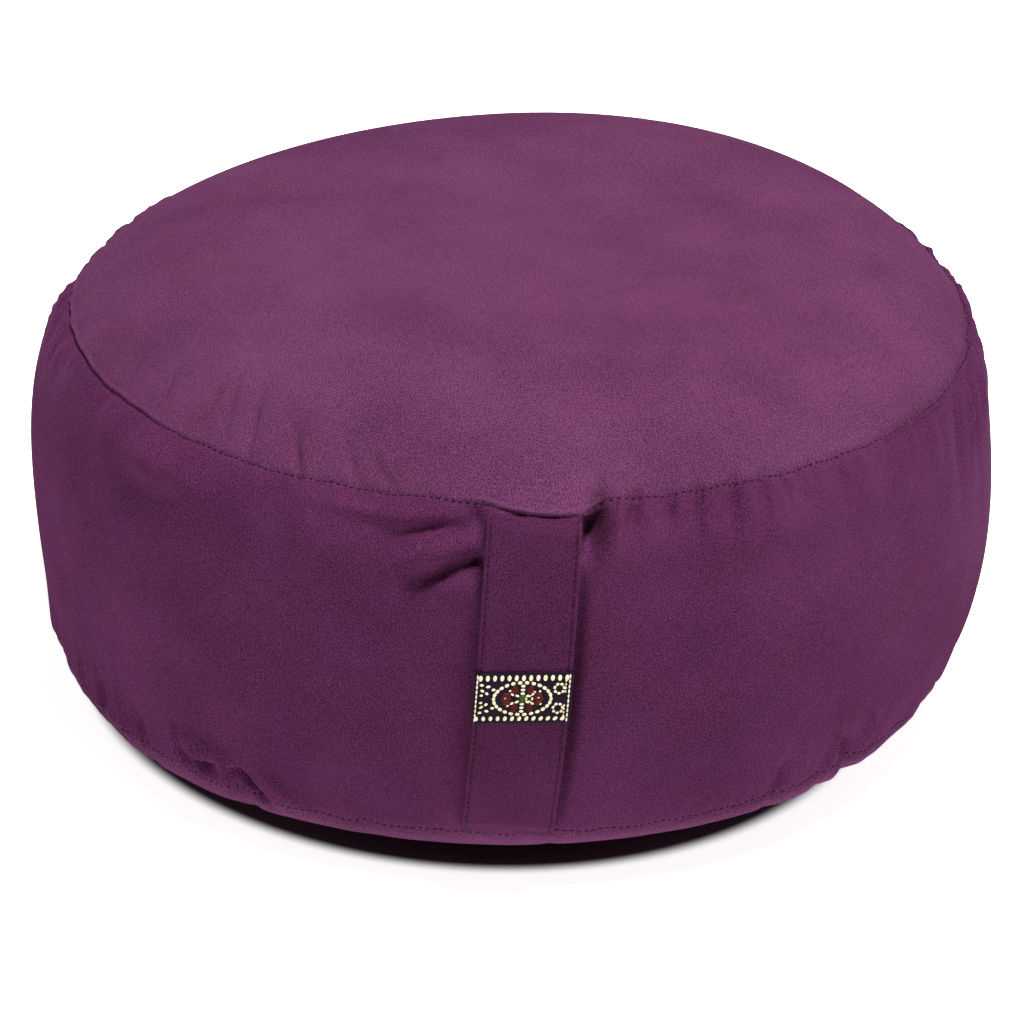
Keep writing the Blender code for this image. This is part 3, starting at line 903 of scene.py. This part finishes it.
def ribbon_section():
    """The ribbon's middle line round the handle, as (across, outward) points."""
    lift = STRAP_THICKNESS / 2 + RIBBON_GAP + RIBBON_THICKNESS / 2
    edge = STRAP_WIDTH / 2 + RIBBON_GAP + RIBBON_THICKNESS / 2
    turned = edge - RIBBON_CORNER
    cut = edge - RIBBON_CORNER_CUT
    front = [(edge * share, lift) for share in np.linspace(0.0, 0.95, RIBBON_FRONT_POINTS)]
    front += [(turned, lift), (cut, lift - RIBBON_CORNER_CUT), (edge, lift - RIBBON_CORNER)]
    back = [(edge, RIBBON_CORNER - lift), (cut, RIBBON_CORNER_CUT - lift), (turned, -lift)]
    back += [(edge - RIBBON_TURN_IN * share, -lift) for share in (0.4, 0.7, 1.0)]
    half = front + back
    return [(-across, out) for across, out in reversed(half[1:])] + half


def ribbon_points(across, out, down):
    """Points of the ribbon at across, outward and down from its top edge, along its own slant."""
    station = RIBBON_TOP_STATION + down - across * tan(RIBBON_SLANT)
    middle, side, facing = strap_frame(station)
    return middle + side * across[..., None] + facing * out[..., None]


def make_ribbon(material):
    section = np.array(ribbon_section())
    columns = len(section)
    downs = np.linspace(0.0, RIBBON_HEIGHT, RIBBON_ROWS)
    across, down = np.meshgrid(section[:, 0], downs)
    out, _ = np.meshgrid(section[:, 1], downs)
    points = ribbon_points(across, out, down)
    mesh = new_mesh("ribbon_cloth", points, grid_faces(RIBBON_ROWS, columns, False))
    steps = np.hypot(*np.diff(section, axis=0).T)
    lengths = np.concatenate([[0.0], np.cumsum(steps)])
    lengths -= lengths[-1] / 2
    corners = corner_vertices(mesh)
    along = np.repeat(-downs, columns)[corners]
    set_weave(mesh, np.tile(lengths, RIBBON_ROWS)[corners], along)
    piece = add_piece(mesh, material)
    shell = piece.modifiers.new("thickness", "SOLIDIFY")
    shell.thickness = RIBBON_THICKNESS
    shell.offset = 0
    shell.use_even_offset = True
    return piece


# The ribbon's ordinary flower, charted in small floats of thread.
# Places are in mm from the ribbon's middle, right and up. Angles are in degrees from level.
Float = namedtuple("Float", "x y length width angle")
BORDER_COUNT = 13
BORDER_SPAN = 26.2
BORDER_HEIGHT = 6.6
OVAL_WIDTH = 8.7
OVAL_HEIGHT = 5.2
OVAL_COUNT = 26
SPOKE_SLOPE = 0.34
# Specks on the two big petals and beside the centre
SPECKS = (-5.2, 0.2), (4.9, 0.5), (-3.9, 2.6), (-4.3, -2.3), (5.6, -1.7), (3.6, 2.2), (5.2, 2.4)
DIAMOND_PLACE = (2.1, 0.0)
RING_PLACE = (11.0, 3.2)
SELVEDGE = 14.0
SELVEDGE_COUNT = 10
# A dotted line inside the right selvedge, with a gap in its middle
DOTS_PLACE = 12.9
DOTS_COUNT = 13
# Slanted floats at the left, mirrored below the middle
CORNERS = (
    Float(-12.6, 4.5, 1.3, 0.9, -15),
    Float(-10.6, 4.0, 1.5, 0.9, 10),
    Float(-8.9, 3.0, 1.3, 0.9, 15),
    Float(-12.3, 2.7, 1.4, 0.9, -30),
    Float(-10.9, 1.8, 1.3, 0.9, -35),
    Float(-12.5, 1.2, 1.1, 0.8, -10),
)
PETALS = 6
PETAL_RING = (4.9, 3.1)
PETAL_LINES = (-1.35, -0.68, 0.0, 0.68, 1.35)
CENTRE_LINES = (-2, -1, 0, 1, 2)
FLOAT_AROUND = 10
FLOAT_RINGS = 3
FLOAT_HEIGHT = 0.00028
CENTRE_FLOAT_HEIGHT = 0.00034
FLOAT_SINK = 0.00004


def oval(width, height, count, length, thick, start=0.0):
    """Floats round an oval, each lying along it."""
    floats = []
    for k in range(count):
        turn = radians(start) + tau * k / count
        x, y = width * cos(turn), height * sin(turn)
        angle = degrees(atan2(height * cos(turn), -width * sin(turn)))
        floats.append(Float(x, y, length, thick, angle))
    return floats


def moved(floats, x, y):
    return [one._replace(x=one.x + x, y=one.y + y) for one in floats]


def upright_line(x, reach, count, length):
    """Upright floats one above the other, from reach below the middle to reach above it."""
    heights = [mix(-reach, reach, k / (count - 1)) for k in range(count)]
    return [Float(x, y, length, 0.6, 90) for y in heights]


def spokes(sign):
    """One half of the flower's spokes from the centre: an upright one and two slanted ones."""
    floats = [Float(0.0, sign * reach, 1.5, 1.0, 0) for reach in (1.7, 2.9, 4.1)]
    for y in (-1.0, 1.0):
        for reach in (1.6, 3.0):
            height = y * (0.45 + reach * SPOKE_SLOPE)
            floats.append(Float(sign * reach, height, 1.5, 0.85, sign * y * 24))
    return floats


def gold_floats():
    floats = []
    for k in range(BORDER_COUNT):
        x = mix(-BORDER_SPAN / 2, BORDER_SPAN / 2, k / (BORDER_COUNT - 1))
        floats.append(Float(x, BORDER_HEIGHT, 2.0, 1.35, 90))
        floats.append(Float(x - 0.4, -BORDER_HEIGHT, 1.75, 1.25, 100 - 5 * k))
    floats += oval(OVAL_WIDTH, OVAL_HEIGHT, OVAL_COUNT, 1.55, 1.15)
    floats += spokes(-1) + spokes(1)
    floats += [Float(x, y, 0.9, 0.7, 20) for x, y in SPECKS]
    floats += moved(oval(0.9, 0.9, 4, 1.1, 0.75), *DIAMOND_PLACE)
    for sign in (-1, 1):
        floats += [one._replace(y=sign * one.y, angle=sign * one.angle) for one in CORNERS]
        floats += moved(oval(1.45, 1.5, 7, 1.15, 0.95, 12), RING_PLACE[0], sign * RING_PLACE[1])
        floats += upright_line(sign * SELVEDGE, 7.0, SELVEDGE_COUNT, 1.5)
    dots = upright_line(DOTS_PLACE, 6.8, DOTS_COUNT, 0.9)
    half = DOTS_COUNT // 2
    return floats + dots[: half - 1] + dots[half + 2 :]


def petal_floats():
    floats = []
    for k in range(PETALS):
        turn = tau * k / PETALS
        x, y = PETAL_RING[0] * cos(turn), PETAL_RING[1] * sin(turn)
        big = 1.25 if k % 3 == 0 else 0.95
        for line in PETAL_LINES:
            length = (2.9 - abs(line) * 0.9) * big
            floats.append(Float(x, y + line * big * 0.95, length, 0.80 * big, 0))
    return floats


def centre_floats():
    return [Float(0.0, 0.45 * k, 2.2 - 0.35 * abs(k), 0.55, 0) for k in CENTRE_LINES]


def make_floats(name, floats, material, height=FLOAT_HEIGHT):
    """Each float is a low rounded dome on the ribbon's face."""
    vertices, faces = [], []
    lift = STRAP_THICKNESS / 2 + RIBBON_GAP + RIBBON_THICKNESS
    for one in floats:
        angle = radians(one.angle)
        xs, ys, zs = [0.0], [0.0], [height]
        for r in range(1, FLOAT_RINGS + 1):
            share = r / FLOAT_RINGS
            for k in range(FLOAT_AROUND):
                turn = tau * k / FLOAT_AROUND
                a = one.length / 2 * MM * share * cos(turn)
                b = one.width / 2 * MM * share * sin(turn)
                xs.append(a * cos(angle) - b * sin(angle))
                ys.append(a * sin(angle) + b * cos(angle))
                zs.append(height * sqrt(max(0.0, 1 - share**2)) - FLOAT_SINK)
        x = np.array(xs) + one.x * MM
        y = np.array(ys) + one.y * MM
        base = len(vertices)
        vertices += ribbon_points(x, lift + np.array(zs), RIBBON_HEIGHT / 2 - y).tolist()
        for k in range(FLOAT_AROUND):
            after = (k + 1) % FLOAT_AROUND
            faces.append((base, base + 1 + k, base + 1 + after))
            for r in range(FLOAT_RINGS - 1):
                ring = base + 1 + r * FLOAT_AROUND
                a, b = ring + k, ring + after
                faces.append((a, a + FLOAT_AROUND, b + FLOAT_AROUND, b))
        rim = base + 1 + (FLOAT_RINGS - 1) * FLOAT_AROUND
        faces.append(tuple(rim + k for k in reversed(range(FLOAT_AROUND))))
    return add_piece(new_mesh(name, vertices, faces), material)


# Materials


class Nodes:
    """Short calls for building the nodes of one material or world."""

    def __init__(self, owner):
        owner.use_nodes = True
        self.owner = owner
        self.tree = owner.node_tree

    def fill(self, node, inputs):
        """Each input is given as a value or as another node's output."""
        for key, value in inputs.items():
            if isinstance(value, (int, float, tuple)):
                node.inputs[key].default_value = value
            else:
                self.tree.links.new(value, node.inputs[key])

    def add(self, kind, inputs, **settings):
        """The outputs of a new node."""
        node = self.tree.nodes.new(kind)
        for key, value in settings.items():
            setattr(node, key, value)
        self.fill(node, inputs)
        return node.outputs

    def maths(self, operation, *inputs):
        return self.add("ShaderNodeMath", dict(enumerate(inputs)), operation=operation)[0]

    def weighted(self, *parts):
        """Sum of (value, weight) parts."""
        total, *others = [self.maths("MULTIPLY", value, weight) for value, weight in parts]
        for other in others:
            total = self.maths("ADD", total, other)
        return total

    def noise(self, vector, scale, detail=2.0, roughness=0.5):
        inputs = {"Vector": vector, "Scale": scale, "Detail": detail, "Roughness": roughness}
        return self.add("ShaderNodeTexNoise", inputs)["Fac"]

    def stretched(self, vector, scale, turn=0.0):
        inputs = {"Vector": vector, "Scale": scale, "Rotation": (0.0, 0.0, turn)}
        return self.add("ShaderNodeMapping", inputs)[0]

    def faded(self, value, start, end, low=0.0, high=1.0, kind="LINEAR"):
        """From low, where value is start or less, to high, where it is end or more."""
        inputs = {"Value": value, "From Min": start, "From Max": end, "To Min": low, "To Max": high}
        return self.add("ShaderNodeMapRange", inputs, interpolation_type=kind)["Result"]

    def ramp(self, factor, stops):
        node = self.tree.nodes.new("ShaderNodeValToRGB")
        self.fill(node, {0: factor})
        elements = node.color_ramp.elements
        for element, (place, colour) in zip(elements, (stops[0], stops[-1])):
            element.position = place
            element.color = colour
        for place, colour in stops[1:-1]:
            elements.new(place).color = colour
        return node.outputs[0]

    def multiplied(self, factor, first, second):
        inputs = {0: factor, 6: first, 7: second}
        return self.add("ShaderNodeMix", inputs, data_type="RGBA", blend_type="MULTIPLY")[2]

    def bump(self, height, distance, strength):
        inputs = {"Height": height, "Distance": distance, "Strength": strength}
        return self.add("ShaderNodeBump", inputs)[0]

    def coordinates(self, name):
        return self.add("ShaderNodeTexCoord", {})[name]

    def weave(self):
        return self.add("ShaderNodeUVMap", {}, uv_map="weave")[0]

    def parts(self, vector):
        return self.add("ShaderNodeSeparateXYZ", {0: vector})

    def shade(self, **values):
        shader = self.tree.nodes["Principled BSDF"]
        for key, value in values.items():
            self.fill(shader, {key.replace("_", " ").title().replace("Ior", "IOR"): value})


PLUM = (0.084, 0.0152, 0.0605, 1.0)
PLUM_DARK = (0.045, 0.0075, 0.032, 1.0)
PLUM_LIGHT = (0.150, 0.0340, 0.112, 1.0)
SHEEN_TINT = (0.80, 0.36, 0.68, 1.0)
WARM_TINT = (1.0, 0.98, 0.95, 1.0)
COOL_TINT = (0.98, 1.0, 1.03, 1.0)
# The seam and handle threads are coloured far darker than the plum cloth. A little of that is the
# thread's own colour; the rest is painted shade of the needle holes at the ends of each stitch.
SEAM_THREAD_PAINTED_SHADE = (0.024, 0.0045, 0.016, 1.0)
STRAP_THREAD_PAINTED_SHADE = (0.018, 0.004, 0.013, 1.0)
THREAD_SHADES = ((0.3, (0.55, 0.55, 0.55, 1.0)), (0.7, (1.15, 1.15, 1.15, 1.0)))
RIBBON_STOPS = (
    (0.25, (0.004, 0.002, 0.004, 1.0)),
    (0.60, (0.012, 0.005, 0.016, 1.0)),
    (0.85, (0.030, 0.014, 0.040, 1.0)),
)
RIBBON_COLOUR = (0.030, 0.018, 0.045, 1.0)

# The weaves, in their own millimetres
TWILL_PITCH = 0.66
TWILL_TURN = radians(-30)
TWILL_WAVER = 0.9
YARN_FINE = 2.6
YARN_LONG = 0.30
TONE_STOPS = (0.505, 0.615, 0.725)
RIBBON_RIB_PITCH = 0.42
RIBBON_PICK_PITCH = 0.33


def painted_light_plum(red, green, blue):
    """Dark, middle and light of the plum, each with its three parts scaled to paint light and
    shade.
    """
    shades = (PLUM_DARK, PLUM, PLUM_LIGHT)
    return [(shade[0] * red, shade[1] * green, shade[2] * blue, 1.0) for shade in shades]


def twill(name, colours):
    """Fine cotton twill: diagonal ribs, uneven yarns, slight cloudiness and a soft sheen."""
    made = Nodes(bpy.data.materials.new(name))
    place = made.weave()
    solid = made.coordinates("Object")
    across = made.parts(made.stretched(place, (1.0, 1.0, 1.0), TWILL_TURN))[0]
    waver = made.maths("MULTIPLY", made.noise(place, 0.5, 3.0), TWILL_WAVER)
    phase = made.maths("MULTIPLY", made.maths("ADD", across, waver), tau / TWILL_PITCH)
    rib = made.maths("MULTIPLY_ADD", made.maths("SINE", phase), 0.5, 0.5)
    warp = made.noise(made.stretched(place, (YARN_FINE, YARN_LONG, 1.0)), 1.0)
    weft = made.noise(made.stretched(place, (YARN_LONG, YARN_FINE, 1.0)), 1.0)
    yarn = made.maths("MULTIPLY", made.maths("ADD", warp, weft), 0.5)
    speck = made.noise(place, 1.7, 3.0, 0.75)
    cloud = made.noise(solid, 22.0, 3.0, 0.6)
    height = made.weighted((rib, 0.34), (yarn, 0.6), (speck, 0.7))
    tone = made.weighted((speck, 0.70), (yarn, 0.30), (rib, 0.11), (cloud, 0.16))
    colour = made.ramp(tone, list(zip(TONE_STOPS, colours)))
    tint = made.ramp(made.noise(solid, 34.0), [(0.3, WARM_TINT), (0.7, COOL_TINT)])
    made.shade(
        base_color=made.multiplied(1.0, colour, tint),
        roughness=made.maths("MULTIPLY_ADD", yarn, 0.15, 0.68),
        sheen_weight=0.04,
        sheen_roughness=0.45,
        sheen_tint=SHEEN_TINT,
        specular_ior_level=0.0,
        normal=made.bump(height, 0.00010, 0.9),
    )
    made.owner.diffuse_color = colours[1]
    return made.owner


def thread(name, colour, roughness, specular):
    """Twisted thread: a fine slanted ply in its bump and slight colour changes."""
    made = Nodes(bpy.data.materials.new(name))
    place = made.coordinates("Object")
    ply = made.noise(made.stretched(place, (6000.0, 6000.0, 2500.0)), 1.0, 1.0)
    shades = made.ramp(made.noise(place, 900.0), THREAD_SHADES)
    made.shade(
        base_color=made.multiplied(0.45, colour, shades),
        roughness=made.maths("MULTIPLY_ADD", ply, 0.2, roughness),
        specular_ior_level=specular,
        normal=made.bump(ply, 0.00006, 0.8),
    )
    made.owner.diffuse_color = colour
    return made.owner


def ribbon_ground(name):
    """Close dark violet ground of the ribbon, with fine ribs and picks."""
    made = Nodes(bpy.data.materials.new(name))
    place = made.weave()
    parts = made.parts(place)
    across = made.maths("MULTIPLY", parts[0], tau / RIBBON_RIB_PITCH)
    along = made.maths("MULTIPLY", parts[1], tau / RIBBON_PICK_PITCH)
    crossed = made.maths("MULTIPLY", made.maths("SINE", across), made.maths("SINE", along))
    crossed = made.maths("MULTIPLY_ADD", crossed, 0.5, 0.5)
    speck = made.noise(place, 1.6)
    tone = made.maths("MULTIPLY_ADD", crossed, 0.45, made.maths("MULTIPLY", speck, 0.5))
    made.shade(
        base_color=made.ramp(tone, RIBBON_STOPS),
        roughness=made.maths("MULTIPLY_ADD", speck, 0.2, 0.5),
        specular_ior_level=0.05,
        normal=made.bump(crossed, 0.00010, 0.8),
    )
    made.owner.diffuse_color = RIBBON_COLOUR
    return made.owner


# Scene

FLOOR_SIDE = 6.0
# The floor: a dark colour paints its contact shadow within SHADOW_START of SHADOW_MIDDLE, and
# beyond SHADOW_END the paper glows by PAPER_GLOW, painted light that washes the cast shadows out.
FLOOR_PAINTED_SHADOW = (0.10, 0.07, 0.085, 1.0)
FLOOR_WHITE = (0.90, 0.905, 0.90, 1.0)
SHADOW_MIDDLE = (-0.0050, 0.0040, 0.0)
SHADOW_START = 0.1365
SHADOW_END = 0.1435
PAPER_GLOW = 0.86
WHITE = (1.0, 1.0, 1.0, 1.0)
# Strength of the world in front and behind, and between which y of a direction it changes
WORLD_FRONT = 0.05
WORLD_BACK = 0.27
WORLD_FADE = (-0.8, 0.4)
LIGHT_TARGET = Vector((0, 0, 0.08))


def make_camera():
    data = bpy.data.cameras.new("camera")
    data.sensor_width = SENSOR
    data.lens = FOCAL_PIXELS * SENSOR / IMAGE_SIDE
    data.clip_start = 0.05
    data.clip_end = 50.0
    camera = new_object("camera", data)
    turn = Matrix.Rotation(-CAMERA_YAW, 4, "Z") @ Matrix.Rotation(pi / 2 - CAMERA_PITCH, 4, "X")
    turn = turn @ Matrix.Rotation(CAMERA_ROLL, 4, "Z")
    camera.matrix_world = Matrix.Translation(CAMERA_PLACE) @ turn
    scene.camera = camera


def make_light(name, place, size, power):
    data = bpy.data.lights.new(name, "AREA")
    data.shape = "RECTANGLE"
    data.size, data.size_y = size
    data.energy = power
    light = new_object(name, data)
    light.location = place
    light.rotation_mode = "QUATERNION"
    light.rotation_quaternion = (LIGHT_TARGET - Vector(place)).to_track_quat("-Z", "Y")


def make_floor():
    """White paper glowing with painted light, but close round the cushion painted dark as its
    contact shadow.
    """
    corners = [(x * FLOOR_SIDE, y * FLOOR_SIDE, 0) for x, y in ((-1, -1), (1, -1), (1, 1), (-1, 1))]
    mesh = new_mesh("floor", corners, [(0, 1, 2, 3)])
    made = Nodes(bpy.data.materials.new("floor_paper_painted_shadow_glow"))
    ends = {0: made.coordinates("Object"), 1: SHADOW_MIDDLE}
    distance = made.add("ShaderNodeVectorMath", ends, operation="DISTANCE")["Value"]
    share = made.faded(distance, SHADOW_START, SHADOW_END, kind="SMOOTHSTEP")
    made.shade(
        base_color=made.ramp(share, [(0.0, FLOOR_PAINTED_SHADOW), (1.0, FLOOR_WHITE)]),
        emission_color=WHITE,
        emission_strength=made.maths("MULTIPLY", share, PAPER_GLOW),
        roughness=0.9,
        specular_ior_level=0.0,
    )
    add_piece(mesh, made.owner)


def make_world():
    """A white studio that is dark on the photographer's side."""
    made = Nodes(bpy.data.worlds.new("studio"))
    back = made.parts(made.coordinates("Generated"))[1]
    strength = made.faded(back, *WORLD_FADE, WORLD_FRONT, WORLD_BACK)
    made.fill(made.tree.nodes["Background"], {0: WHITE, 1: strength})
    scene.world = made.owner


scene.view_settings.view_transform = "Standard"
make_camera()
make_world()
make_light("key", (0.34, -0.42, 2.2), (0.55, 0.55), 90)
make_light("fill", (-1.8, 0.25, 0.24), (1.0, 0.4), 9.5)
make_light("right", (1.5, -0.45, 0.62), (0.6, 0.6), 1.8)
make_floor()

# One plum twill in three copies: the top panel's is paler and lighter, painted sheen, and the
# side's and the handle's are darker, painted shade.
side_twill = twill("side_cotton_twill_painted_shade", painted_light_plum(0.65, 0.75, 0.66))
round_twill = twill("round_cotton_twill_painted_sheen", painted_light_plum(0.84, 1.18, 0.86))
strap_twill = twill("strap_cotton_twill_painted_shade", painted_light_plum(0.49, 0.56, 0.49))
seam_thread = thread("plum_thread_painted_shade", SEAM_THREAD_PAINTED_SHADE, 0.7, 0.1)
strap_thread_painted_shade = thread("strap_thread_painted_shade", STRAP_THREAD_PAINTED_SHADE, 0.7, 0.1)
gold_thread = thread("gold_thread", (0.74, 0.66, 0.44, 1.0), 0.40, 0.3)
red_thread = thread("red_thread", (0.085, 0.008, 0.005, 1.0), 0.5, 0.1)
green_thread = thread("green_thread", (0.045, 0.11, 0.025, 1.0), 0.5, 0.1)

cover = make_cover(round_twill, side_twill)
top_frames = seam_frames(0.0, STRAP_WIDTH / 2 / SEAM_RADIUS + STRAP_STITCH_GAP)
low_frames = seam_frames(LOW_SEAM_STATION)
top_stitches = make_stitches("top_seam_stitches", top_frames, STITCH_THICKNESS, seam_thread)
low_stitches = make_stitches("low_seam_stitches", low_frames, STITCH_THICKNESS, seam_thread)
strap = make_strap(strap_twill)
strap_frames = strap_stitch_frames()
strap_stitches = make_stitches(
    "strap_stitches", strap_frames, STRAP_STITCH_THICKNESS, strap_thread_painted_shade
)
ribbon = make_ribbon(ribbon_ground("ribbon_ground"))
ribbon_gold = make_floats("ribbon_gold_floats", gold_floats(), gold_thread)
ribbon_red = make_floats("ribbon_red_floats", petal_floats(), red_thread)
ribbon_green = make_floats(
    "ribbon_green_floats", centre_floats(), green_thread, CENTRE_FLOAT_HEIGHT
)

cotton = (cover, top_stitches, low_stitches, strap, strap_stitches)
woven = (ribbon, ribbon_gold, ribbon_red, ribbon_green)
for piece in cotton + woven:
    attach(piece, BODY)
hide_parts("cushion")
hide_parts("handle_strap")
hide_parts("ribbon")
